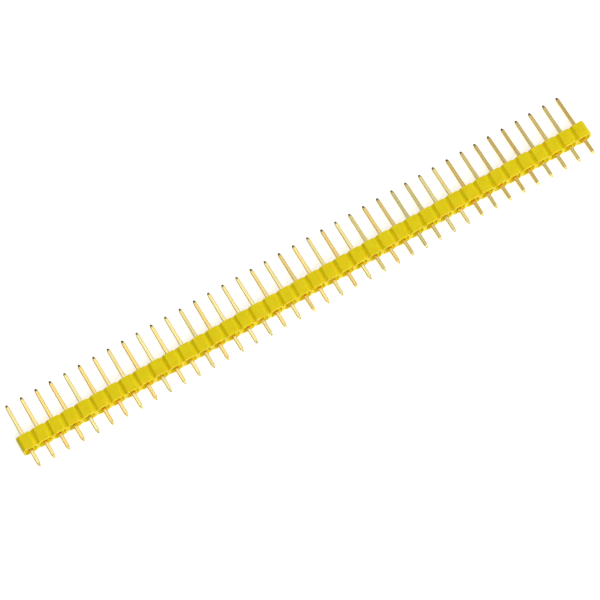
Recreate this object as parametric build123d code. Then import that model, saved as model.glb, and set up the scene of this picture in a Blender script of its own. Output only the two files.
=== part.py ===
from build123d import *
import os

# Single-row breakaway pin header, straight square pins, one moulded insulator.
# It lies on one side face: X along the row, +Y towards the mating ends of the pins, +Z up.
# Origin: on the table, halfway along the row and halfway along the pins. Millimetres throughout.

# The row.
positions = 40
pitch = 2.54

# Insulator, moulded in one piece.
body_height = 2.5
body_width = 2.5

# V notches across both side faces, one between each pair of positions, so that the strip can be
# snapped. Their flanks stand at 45 degrees. Each end of the strip is half a notch.
notch_depth = 0.45
notch_root = 0.07
corner_radius = 0.25

# Rectangular pocket around each pin on the board side. The rim left around it is what
# stands on the board.
pocket_length = 1.9
pocket_width = 1.7
pocket_depth = 0.45
pocket_corner = 0.15

# Pins: drawn square wire with eased edges, cut to length and pointed with four flats at each end.
pin_side = 0.64
pin_edge_radius = 0.12
mating_length = 5.75
tail_length = 2.95
tip_length = 0.5
tip_flat = 0.32

# The pins are pressed in. The holes are drawn this much clear of the pin on each of its flats.
press_gap = 0.005

pin_length = tail_length + body_height + mating_length
strip_half = positions * pitch / 2
tail_end = -pin_length / 2
board_face = tail_end + tail_length
mating_face = board_face + body_height
middle_height = body_width / 2
pin_positions = [(k + 0.5) * pitch - strip_half for k in range(positions)]


def section_plane(x, y):
    # A plane square to the pins, facing the mating side, centred on the row's mid-height.
    return Plane(origin=(x, y, middle_height), x_dir=(1, 0, 0), z_dir=(0, 1, 0))


# Outline of the insulator seen along the pins: the upper side face from end to end with its
# notches, then the same again for the lower one.
upper = [(-strip_half, body_width - notch_depth), (-strip_half + notch_depth, body_width)]
for k in range(1, positions):
    x = k * pitch - strip_half
    upper.append((x - notch_root / 2 - notch_depth, body_width))
    upper.append((x - notch_root / 2, body_width - notch_depth))
    upper.append((x + notch_root / 2, body_width - notch_depth))
    upper.append((x + notch_root / 2 + notch_depth, body_width))
upper.append((strip_half - notch_depth, body_width))
upper.append((strip_half, body_width - notch_depth))
lower = [(x, body_width - z) for x, z in reversed(upper)]
outline = make_face(Polyline([Vector(x, board_face, z) for x, z in upper + lower], close=True))

# The corners that stand out are eased. The roots of the notches stay sharp, so that it snaps there,
# and so do the rims of the board face and the mating face, where the mould parts.
standing_corners = [
    v
    for v in outline.vertices()
    if min(v.Z, body_width - v.Z) < 1e-6 or strip_half - abs(v.X) < 1e-6
]
outline = fillet(standing_corners, corner_radius)
insulator = extrude(outline, amount=body_height, dir=(0, 1, 0))

# One pocket and one through hole for each pin.
pocket_outline = RectangleRounded(pocket_length, pocket_width, pocket_corner)
hole_side = pin_side + 2 * press_gap
cuts = []
for x in pin_positions:
    cuts.append(extrude(section_plane(x, board_face) * pocket_outline, amount=pocket_depth))
    cuts.append(extrude(section_plane(x, board_face) * Rectangle(hole_side, hole_side), amount=body_height))
housing = insulator - cuts

# One pin: a straight shank, with the same point on each end.
wire = RectangleRounded(pin_side, pin_side, pin_edge_radius)
point = RectangleRounded(tip_flat, tip_flat, pin_edge_radius * tip_flat / pin_side)
tail_shoulder = tail_end + tip_length
mating_end = mating_face + mating_length
mating_shoulder = mating_end - tip_length
shank = extrude(section_plane(0, tail_shoulder) * wire, amount=mating_shoulder - tail_shoulder)
tail_point = loft([section_plane(0, tail_end) * point, section_plane(0, tail_shoulder) * wire])
mating_point = loft([section_plane(0, mating_shoulder) * wire, section_plane(0, mating_end) * point])
pin = tail_point + shank + mating_point

os.makedirs("parts", exist_ok=True)
export_step(housing, "parts/housing.step")
for number, x in enumerate(pin_positions, start=1):
    export_step(Pos(x, 0, 0) * pin, f"parts/pin_{number:02d}.step")
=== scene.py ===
import bmesh
import bpy
import math
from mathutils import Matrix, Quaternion, Vector


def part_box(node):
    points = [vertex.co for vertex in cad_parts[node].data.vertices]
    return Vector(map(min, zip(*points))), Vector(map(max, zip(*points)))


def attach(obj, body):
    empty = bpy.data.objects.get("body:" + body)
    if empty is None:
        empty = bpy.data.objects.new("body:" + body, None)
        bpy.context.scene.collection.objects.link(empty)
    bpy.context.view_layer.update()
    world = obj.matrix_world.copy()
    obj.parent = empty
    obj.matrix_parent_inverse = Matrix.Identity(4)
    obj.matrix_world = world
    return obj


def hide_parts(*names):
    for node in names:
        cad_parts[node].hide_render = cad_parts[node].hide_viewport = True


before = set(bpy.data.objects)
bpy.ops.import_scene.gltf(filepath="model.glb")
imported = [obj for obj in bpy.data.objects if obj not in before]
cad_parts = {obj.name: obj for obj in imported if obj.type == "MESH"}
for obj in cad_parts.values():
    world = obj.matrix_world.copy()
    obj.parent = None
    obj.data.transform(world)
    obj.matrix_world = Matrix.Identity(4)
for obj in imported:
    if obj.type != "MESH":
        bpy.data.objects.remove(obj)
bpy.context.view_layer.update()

# --- Insulator -------------------------------------------------------------------------------
# One injection moulding in yellow glass-filled nylon, as long as the strip. V notches across both
# side faces part it into equal positions, so that a length can be snapped off by hand, and each
# pin leaves the board side out of a pocket of its own.
housing_low, housing_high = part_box("housing")
first_low, first_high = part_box("pin_01")
second_low, second_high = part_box("pin_02")
pin_nodes = sorted(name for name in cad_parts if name.startswith("pin_"))
positions = len(pin_nodes)
pitch = (second_low.x + second_high.x - first_low.x - first_high.x) / 2
board_face = housing_low.y
mating_face = housing_high.y
body_width = housing_high.z
mid_height = body_width / 2

notch_depth = 0.45e-3
notch_root = 0.07e-3
standing_radius = 0.25e-3
moulded_edge = 0.09e-3
pocket_length = 1.9e-3
pocket_width = 1.7e-3
pocket_depth = 0.45e-3
pocket_corner = 0.15e-3
hole_half = 0.325e-3
weld_distance = 2e-6


def eased(before, corner, after, radius, steps):
    # Points of the arc that eases a corner between two straight runs.
    here, back, ahead = Vector(corner), Vector(before), Vector(after)
    way_in, way_out = (here - back).normalized(), (ahead - here).normalized()
    turn = way_in.angle(way_out)
    start = here - way_in * radius * math.tan(turn / 2)
    points = []
    for i in range(steps + 1):
        along = turn * i / steps
        aside = radius * (1 - math.cos(along)) / math.sin(turn)
        points.append(start + way_in * (radius * math.sin(along) - aside * math.cos(turn)) + way_out * aside)
    return [(p.x, p.y) for p in points]


def rounded_rectangle(half_x, half_z, radius, steps):
    points = []
    for quarter, (sx, sz) in enumerate(((1, 1), (-1, 1), (-1, -1), (1, -1))):
        for i in range(steps + 1):
            turn = math.pi / 2 * (quarter + i / steps)
            points.append((sx * (half_x - radius) + radius * math.cos(turn),
                           sz * (half_z - radius) + radius * math.sin(turn)))
    return points


def ring_at(mesh, points, y):
    # One closed ring of corners square to the pins, its z given from the row's mid-height.
    return [mesh.verts.new((x, y, mid_height + z)) for x, z in points]


def skin(mesh, near, far):
    pairs = list(zip(near, far))
    return [mesh.faces.new((a, c, d, b)) for (a, b), (c, d) in zip(pairs, pairs[1:] + pairs[:1])]


def fill_between(mesh, outer, inner):
    edges = [mesh.edges.new(pair) for ring in (outer, inner) for pair in zip(ring, ring[1:] + ring[:1])]
    bmesh.ops.triangle_fill(mesh, use_beauty=True, use_dissolve=False, edges=edges)


# One position of the moulding, open at its two webs, where its neighbours carry on.
half = pitch / 2
strip_half = positions * half
top = body_width / 2
valley = top - notch_depth
flat_half = half - notch_root / 2 - notch_depth
left_arc = eased((-half + notch_root / 2, valley), (-flat_half, top), (flat_half, top), standing_radius, 5)
right_arc = [(-x, z) for x, z in reversed(left_arc)]
upper = [(-half, valley), (-half + notch_root / 2, valley)] + left_arc + right_arc
upper += [(half - notch_root / 2, valley), (half, valley)]
section = upper + [(x, -z) for x, z in reversed(upper)]
hole = [(hole_half, hole_half), (-hole_half, hole_half), (-hole_half, -hole_half), (hole_half, -hole_half)]
pocket = rounded_rectangle(pocket_length / 2, pocket_width / 2, pocket_corner, 3)

cell = bmesh.new()
board_rim = ring_at(cell, section, board_face)
mating_rim = ring_at(cell, section, mating_face)
pocket_mouth = ring_at(cell, pocket, board_face)
pocket_floor = ring_at(cell, pocket, board_face + pocket_depth)
hole_near = ring_at(cell, hole, board_face + pocket_depth)
hole_far = ring_at(cell, hole, mating_face)
fill_between(cell, board_rim, pocket_mouth)
fill_between(cell, pocket_floor, hole_near)
fill_between(cell, mating_rim, hole_far)
skin(cell, pocket_mouth, pocket_floor)
skin(cell, hole_near, hole_far)
webs = [face for face in skin(cell, board_rim, mating_rim)
        if all(abs(abs(v.co.x) - half) < weld_distance for v in face.verts)]
bmesh.ops.delete(cell, geom=webs, context="FACES_ONLY")
cell_mesh = bpy.data.meshes.new("position")
cell.to_mesh(cell_mesh)
cell.free()

# The tree that sets like pieces in a row along X, for the moulding's positions and for its pins.
row_tree = bpy.data.node_groups.new("row_of_pieces", "GeometryNodeTree")
sockets = {}
for label, kind in (
        ("Piece", "NodeSocketGeometry"), ("Count", "NodeSocketInt"), ("Pitch", "NodeSocketFloat"),
        ("Turn", "NodeSocketVector"), ("Seed", "NodeSocketInt"), ("Material", "NodeSocketMaterial")):
    sockets[label] = row_tree.interface.new_socket(label, in_out="INPUT", socket_type=kind).identifier
row_tree.interface.new_socket("Row", in_out="OUTPUT", socket_type="NodeSocketGeometry")


def node(tree, kind, **settings):
    made = tree.nodes.new(kind)
    for key, value in settings.items():
        setattr(made, key, value)
    return made


given = node(row_tree, "NodeGroupInput")
result = node(row_tree, "NodeGroupOutput")
gaps = node(row_tree, "ShaderNodeMath", operation="SUBTRACT")
gaps.inputs[1].default_value = 1
length = node(row_tree, "ShaderNodeMath", operation="MULTIPLY")
start = node(row_tree, "ShaderNodeMath", operation="MULTIPLY")
start.inputs[1].default_value = -0.5
start_point = node(row_tree, "ShaderNodeCombineXYZ")
step = node(row_tree, "ShaderNodeCombineXYZ")
line = node(row_tree, "GeometryNodeMeshLine")
least_turn = node(row_tree, "ShaderNodeVectorMath", operation="SCALE")
least_turn.inputs["Scale"].default_value = -1
own_turn = node(row_tree, "FunctionNodeRandomValue", data_type="FLOAT_VECTOR")
own_shade = node(row_tree, "FunctionNodeRandomValue", data_type="FLOAT")
place = node(row_tree, "GeometryNodeInstanceOnPoints")
shade_store = node(row_tree, "GeometryNodeStoreNamedAttribute", data_type="FLOAT", domain="INSTANCE")
shade_store.inputs["Name"].default_value = "own_shade"
realize = node(row_tree, "GeometryNodeRealizeInstances")
coat = node(row_tree, "GeometryNodeSetMaterial")
for output, target in (
        (given.outputs["Count"], gaps.inputs[0]), (gaps.outputs[0], length.inputs[0]),
        (given.outputs["Pitch"], length.inputs[1]), (length.outputs[0], start.inputs[0]),
        (start.outputs[0], start_point.inputs["X"]), (given.outputs["Pitch"], step.inputs["X"]),
        (given.outputs["Count"], line.inputs["Count"]),
        (start_point.outputs[0], line.inputs["Start Location"]),
        (step.outputs[0], line.inputs["Offset"]), (given.outputs["Turn"], least_turn.inputs[0]),
        (least_turn.outputs[0], own_turn.inputs[0]), (given.outputs["Turn"], own_turn.inputs[1]),
        (given.outputs["Seed"], own_turn.inputs["Seed"]), (given.outputs["Seed"], own_shade.inputs["Seed"]),
        (line.outputs["Mesh"], place.inputs["Points"]), (given.outputs["Piece"], place.inputs["Instance"]),
        (own_turn.outputs[0], place.inputs["Rotation"]),
        (place.outputs["Instances"], shade_store.inputs["Geometry"]),
        (own_shade.outputs[1], shade_store.inputs["Value"]),
        (shade_store.outputs["Geometry"], realize.inputs["Geometry"]),
        (realize.outputs["Geometry"], coat.inputs["Geometry"]),
        (given.outputs["Material"], coat.inputs["Material"]),
        (coat.outputs["Geometry"], result.inputs["Row"])):
    row_tree.links.new(output, target)


def row_of(name, piece_mesh, turn, seed, material):
    # The plain mesh of one row: as many pieces as there are positions, each turned a little its own way.
    one = bpy.data.objects.new(name, piece_mesh)
    bpy.context.scene.collection.objects.link(one)
    row = one.modifiers.new("row", "NODES")
    row.node_group = row_tree
    row[sockets["Count"]] = positions
    row[sockets["Pitch"]] = pitch
    row[sockets["Turn"]] = turn
    row[sockets["Seed"]] = seed
    row[sockets["Material"]] = material
    bpy.context.view_layer.update()
    made = bpy.data.meshes.new_from_object(one.evaluated_get(bpy.context.evaluated_depsgraph_get()))
    bpy.data.objects.remove(one)
    made.name = name
    return made


# Grain is the fine mottle that both the plastic and the plating have, each at its own size.
grain = bpy.data.node_groups.new("surface_grain", "ShaderNodeTree")
grain.interface.new_socket("Coordinates", in_out="INPUT", socket_type="NodeSocketVector")
grain.interface.new_socket("Fine Scale", in_out="INPUT", socket_type="NodeSocketFloat")
grain.interface.new_socket("Broad Scale", in_out="INPUT", socket_type="NodeSocketFloat")
grain.interface.new_socket("Fine", in_out="OUTPUT", socket_type="NodeSocketFloat")
grain.interface.new_socket("Broad", in_out="OUTPUT", socket_type="NodeSocketFloat")
grain_in = node(grain, "NodeGroupInput")
grain_out = node(grain, "NodeGroupOutput")
for label, detail in (("Fine", 3), ("Broad", 1)):
    mottle = node(grain, "ShaderNodeTexNoise")
    mottle.inputs["Detail"].default_value = detail
    grain.links.new(grain_in.outputs["Coordinates"], mottle.inputs["Vector"])
    grain.links.new(grain_in.outputs[label + " Scale"], mottle.inputs["Scale"])
    grain.links.new(mottle.outputs["Fac"], grain_out.inputs[label])


def add_grain(tree, fine_scale, broad_scale, stretch=(1, 1, 1)):
    where = node(tree, "ShaderNodeTexCoord")
    mapping = node(tree, "ShaderNodeMapping")
    mapping.inputs["Scale"].default_value = stretch
    made = node(tree, "ShaderNodeGroup", node_tree=grain)
    made.inputs["Fine Scale"].default_value = fine_scale
    made.inputs["Broad Scale"].default_value = broad_scale
    tree.links.new(where.outputs["Object"], mapping.inputs["Vector"])
    tree.links.new(mapping.outputs["Vector"], made.inputs["Coordinates"])
    return made


def add_ramp(tree, source, *stops):
    ramp = node(tree, "ShaderNodeValToRGB")
    first, last = ramp.color_ramp.elements
    first.position, first.color = stops[0][0], (*stops[0][1], 1)
    last.position, last.color = stops[-1][0], (*stops[-1][1], 1)
    for position, colour in stops[1:-1]:
        ramp.color_ramp.elements.new(position).color = (*colour, 1)
    tree.links.new(source, ramp.inputs["Fac"])
    return ramp.outputs["Color"]


def add_range(tree, source, from_low, from_high, to_low, to_high):
    span = node(tree, "ShaderNodeMapRange")
    spans = {"From Min": from_low, "From Max": from_high, "To Min": to_low, "To Max": to_high}
    for label, value in spans.items():
        span.inputs[label].default_value = value
    tree.links.new(source, span.inputs["Value"])
    return span.outputs["Result"]


def add_bump(tree, height, distance, strength):
    bump = node(tree, "ShaderNodeBump")
    bump.inputs["Strength"].default_value = strength
    bump.inputs["Distance"].default_value = distance
    tree.links.new(height, bump.inputs["Height"])
    return bump.outputs["Normal"]


insulator_plastic = bpy.data.materials.new("insulator_plastic")
insulator_plastic.use_nodes = True
tree = insulator_plastic.node_tree
plastic = tree.nodes["Principled BSDF"]
deep_yellow = (0.78, 0.63, 0.006)
pale_yellow = (0.82, 0.67, 0.01)
mottle = add_grain(tree, 9000, 700)
yellow = add_ramp(tree, mottle.outputs["Broad"], (0.3, deep_yellow), (0.7, pale_yellow))
tree.links.new(yellow, plastic.inputs["Base Color"])
tree.links.new(add_range(tree, mottle.outputs["Fine"], 0.3, 0.7, 0.42, 0.56), plastic.inputs["Roughness"])
tree.links.new(add_bump(tree, mottle.outputs["Fine"], 6e-6, 0.5), plastic.inputs["Normal"])
plastic.inputs["Specular IOR Level"].default_value = 0.1
# The nylon lets light a little way in, which turns the pockets and the notches a deeper gold.
plastic.inputs["Subsurface Weight"].default_value = 0.5
plastic.inputs["Subsurface Radius"].default_value = (1, 0.4, 0.05)
plastic.inputs["Subsurface Scale"].default_value = 0.5e-3

row_mesh = row_of("insulator", cell_mesh, (0, 0, 0), 0, insulator_plastic)
moulding = bmesh.new()
moulding.from_mesh(row_mesh)
bmesh.ops.remove_doubles(moulding, verts=moulding.verts, dist=weld_distance)
open_ends = [e for e in moulding.edges if e.is_boundary]
for side in (-1, 1):
    bmesh.ops.contextual_create(moulding, geom=[e for e in open_ends if e.verts[0].co.x * side > 0])
bmesh.ops.recalc_face_normals(moulding, faces=moulding.faces)
bmesh.ops.dissolve_limit(moulding, angle_limit=math.radians(1), verts=moulding.verts, edges=moulding.edges)


def in_hole(vertex):
    middle = (round((vertex.co.x / pitch) - 0.5) + 0.5) * pitch
    return max(abs(vertex.co.x - middle), abs(vertex.co.z - mid_height)) < hole_half * 1.1


def on_rim(edge):
    # The rims of the two faces square to the pins, and the corners of the two ends.
    ys = [v.co.y for v in edge.verts]
    on_faces = max(ys) - board_face < weld_distance or mating_face - min(ys) < weld_distance
    return on_faces or all(strip_half - abs(v.co.x) < weld_distance for v in edge.verts)


sharp = [e for e in moulding.edges
         if e.calc_face_angle(0) > math.radians(30) and on_rim(e) and not any(in_hole(v) for v in e.verts)]
grown = bmesh.ops.bevel(moulding, geom=sharp, offset=moulded_edge, offset_type="OFFSET", segments=3,
                        profile=0.5, affect="EDGES", clamp_overlap=True)
for face in moulding.faces:
    across, up = abs(face.normal.x), abs(face.normal.z)
    face.smooth = min(across, up) > 0.05 and abs(across - up) > 0.02
for face in grown["faces"]:
    face.smooth = True
moulding.to_mesh(row_mesh)
moulding.free()
insulator = bpy.data.objects.new("insulator", row_mesh)
bpy.context.scene.collection.objects.link(insulator)
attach(insulator, "root")
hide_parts("housing")

# --- Pins ------------------------------------------------------------------------------------
# Drawn square brass wire with eased edges, plated with gold, then cut to length and pointed with four flats
# at both ends, whose tips carry a painted dark reflection. Each is pressed into its own hole.
pin_half = (first_high.x - first_low.x) / 2
tail_end = first_low.y
mating_end = first_high.y
pin_ease = 0.12e-3
tip_length = 0.5e-3
tip_half = 0.16e-3
tip_round = 0.03e-3
shoulder = 0.06e-3
pin_turn = (math.radians(0.25), math.radians(2.5), math.radians(0.35))


def pin_section(side_half):
    return rounded_rectangle(side_half, side_half, pin_ease * side_half / pin_half, 4)


# Half-thickness of the pin at each place along it, from one cut end to the other.
taper = (pin_half - tip_half) / tip_length
stations = []
for end, inward in ((tail_end, 1), (mating_end, -1)):
    stations += [(end, tip_half - tip_round), (end + inward * tip_round, tip_half),
                 (end + inward * (tip_length - shoulder), pin_half - shoulder * taper),
                 (end + inward * (tip_length + shoulder), pin_half)]
stations.sort()
pin_shape = bmesh.new()
rings = [ring_at(pin_shape, pin_section(side_half), y) for y, side_half in stations]
for near, far in zip(rings, rings[1:]):
    skin(pin_shape, near, far)
pin_shape.faces.new(rings[0])
pin_shape.faces.new(rings[-1])
bmesh.ops.recalc_face_normals(pin_shape, faces=pin_shape.faces)
for face in pin_shape.faces:
    face.smooth = min(abs(face.normal.x), abs(face.normal.z)) > 0.03
# A pin turns about its own middle, so it is drawn with that at the origin and lifted afterwards.
pin_middle = Vector((0, (tail_end + mating_end) / 2, mid_height))
bmesh.ops.translate(pin_shape, verts=pin_shape.verts, vec=-pin_middle)
pin_mesh = bpy.data.meshes.new("pin")
pin_shape.to_mesh(pin_mesh)
pin_shape.free()

pin_gold = bpy.data.materials.new("pin_gold")
pin_gold.use_nodes = True
tree = pin_gold.node_tree
gold = tree.nodes["Principled BSDF"]
gold.inputs["Metallic"].default_value = 1
drawn = add_grain(tree, 4000, 900, (1, 0.04, 1))
shade = node(tree, "ShaderNodeAttribute", attribute_name="own_shade")
plating = add_ramp(tree, shade.outputs["Fac"], (0.0, (0.97, 0.70, 0.24)), (0.5, (0.97, 0.78, 0.32)),
                   (1.0, (0.90, 0.80, 0.38)))
where = node(tree, "ShaderNodeTexCoord")
along = node(tree, "ShaderNodeSeparateXYZ")
tree.links.new(where.outputs["Object"], along.inputs["Vector"])
# Painted dark reflection on the pointed ends: the colour goes towards near-black close to each cut end, more
# on some pins than others.
painted_dark_mating_tip = add_range(tree, along.outputs["Y"], mating_end - 0.42e-3, mating_end - 0.2e-3, 0, 1)
painted_dark_tail_tip = add_range(tree, along.outputs["Y"], tail_end + 0.3e-3, tail_end + 0.1e-3, 0, 0.5)
painted_dark_tip_colour = (0.09, 0.055, 0.035, 1)
painted_dark_tips = node(tree, "ShaderNodeMath", operation="MAXIMUM")
for painted_dark_end, least, most, slot in ((painted_dark_mating_tip, 1, 0.5, 0), (painted_dark_tail_tip, 0, 1, 1)):
    # No two pins get the same painted dark reflection at their tips, and a pin painted dark at one end is
    # paler at the other.
    share = node(tree, "ShaderNodeMath", operation="MULTIPLY")
    tree.links.new(painted_dark_end, share.inputs[0])
    tree.links.new(add_range(tree, shade.outputs["Fac"], 0, 1, least, most), share.inputs[1])
    tree.links.new(share.outputs[0], painted_dark_tips.inputs[slot])
plating_and_painted_dark_tips = node(tree, "ShaderNodeMixRGB")
plating_and_painted_dark_tips.inputs["Color2"].default_value = painted_dark_tip_colour
tree.links.new(painted_dark_tips.outputs[0], plating_and_painted_dark_tips.inputs["Fac"])
tree.links.new(plating, plating_and_painted_dark_tips.inputs["Color1"])
tree.links.new(plating_and_painted_dark_tips.outputs["Color"], gold.inputs["Base Color"])
tree.links.new(add_range(tree, drawn.outputs["Fine"], 0.3, 0.7, 0.18, 0.32), gold.inputs["Roughness"])
tree.links.new(add_bump(tree, drawn.outputs["Fine"], 3e-6, 0.4), gold.inputs["Normal"])

pins_mesh = row_of("pins", pin_mesh, pin_turn, 7, pin_gold)
lifted = bmesh.new()
lifted.from_mesh(pins_mesh)
bmesh.ops.translate(lifted, verts=lifted.verts, vec=pin_middle)
lifted.to_mesh(pins_mesh)
lifted.free()
pins = bpy.data.objects.new("pins", pins_mesh)
bpy.context.scene.collection.objects.link(pins)
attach(pins, "root")
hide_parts(*pin_nodes)

# --- Table -----------------------------------------------------------------------------------
# A plain white table. It looks white to the camera and in the metal, and still takes the shadow.
table_mesh = bpy.data.meshes.new("table")
table_half = 3
table_mesh.from_pydata([(-table_half, -table_half, 0), (table_half, -table_half, 0),
                        (table_half, table_half, 0), (-table_half, table_half, 0)], [], [(0, 1, 2, 3)])
table = bpy.data.objects.new("table", table_mesh)
bpy.context.scene.collection.objects.link(table)
table_white = bpy.data.materials.new("table_white")
table_white.use_nodes = True
tree = table_white.node_tree
tree.nodes.clear()
paint = node(tree, "ShaderNodeBsdfDiffuse")
paint.inputs["Color"].default_value = (0.8, 0.8, 0.8, 1)
glow = node(tree, "ShaderNodeEmission")
ray = node(tree, "ShaderNodeLightPath")
seen = node(tree, "ShaderNodeMath", operation="ADD")
lift = node(tree, "ShaderNodeMath", operation="MULTIPLY")
lift.inputs[1].default_value = 0.6
both = node(tree, "ShaderNodeAddShader")
surface = node(tree, "ShaderNodeOutputMaterial")
tree.links.new(ray.outputs["Is Camera Ray"], seen.inputs[0])
tree.links.new(ray.outputs["Is Glossy Ray"], seen.inputs[1])
tree.links.new(seen.outputs[0], lift.inputs[0])
tree.links.new(lift.outputs[0], glow.inputs["Strength"])
tree.links.new(paint.outputs[0], both.inputs[0])
tree.links.new(glow.outputs[0], both.inputs[1])
tree.links.new(both.outputs[0], surface.inputs["Surface"])
table_mesh.materials.append(table_white)

# --- Light -----------------------------------------------------------------------------------
# A pale room, brightest low down at the +X end, with one soft box high in front of the board side
# and one overhead, whose picture lies along the tops of all the pins but those at the +X end.
room = bpy.data.worlds.new("room")
bpy.context.scene.world = room
room.use_nodes = True
tree = room.node_tree
walls = tree.nodes["Background"]
walls.inputs["Color"].default_value = (1, 1, 1, 1)
sky = node(tree, "ShaderNodeTexCoord")
facing = node(tree, "ShaderNodeVectorMath", operation="DOT_PRODUCT")
facing.inputs[1].default_value = Vector((0.9, -0.2, 0.35)).normalized()
tree.links.new(sky.outputs["Generated"], facing.inputs[0])
tree.links.new(add_range(tree, facing.outputs["Value"], -0.3, 0.8, 0.08, 0.62), walls.inputs["Strength"])
white = node(tree, "ShaderNodeBackground")
white.inputs["Color"].default_value = (1, 1, 1, 1)
ray = node(tree, "ShaderNodeLightPath")
mix = node(tree, "ShaderNodeMixShader")
tree.links.new(ray.outputs["Is Camera Ray"], mix.inputs["Fac"])
tree.links.new(walls.outputs[0], mix.inputs[1])
tree.links.new(white.outputs[0], mix.inputs[2])
tree.links.new(mix.outputs[0], tree.nodes["World Output"].inputs["Surface"])


def soft_box(name, location, width, height, energy):
    data = bpy.data.lights.new(name, "AREA")
    data.shape = "RECTANGLE"
    data.size = width
    data.size_y = height
    data.energy = energy
    lamp = bpy.data.objects.new(name, data)
    bpy.context.scene.collection.objects.link(lamp)
    lamp.location = location
    lamp.rotation_mode = "QUATERNION"
    lamp.rotation_quaternion = (-lamp.location).to_track_quat("-Z", "Y")


soft_box("front_box", (0.08, -0.48, 0.48), 0.7, 0.4, 3.95)
soft_box("top_box", (-0.02, 0.3, 0.8), 0.34, 0.7, 0.62)

# --- Camera ----------------------------------------------------------------------------------
# High above the row, a little towards its board side and its -X end, with a slight roll.
camera_data = bpy.data.cameras.new("camera")
camera_data.sensor_width = 36
camera_data.lens = 158.22
camera_data.clip_start = 0.01
camera = bpy.data.objects.new("camera", camera_data)
bpy.context.scene.collection.objects.link(camera)
camera.location = (-0.05873, -0.13358, 0.38292)
aim = Vector((-0.002287, -0.002810, 0.00125))
camera.rotation_mode = "QUATERNION"
camera.rotation_quaternion = ((aim - camera.location).to_track_quat("-Z", "Y")
                              @ Quaternion((0, 0, 1), math.radians(-7.341)))
bpy.context.scene.camera = camera
bpy.context.scene.view_settings.view_transform = "Standard"
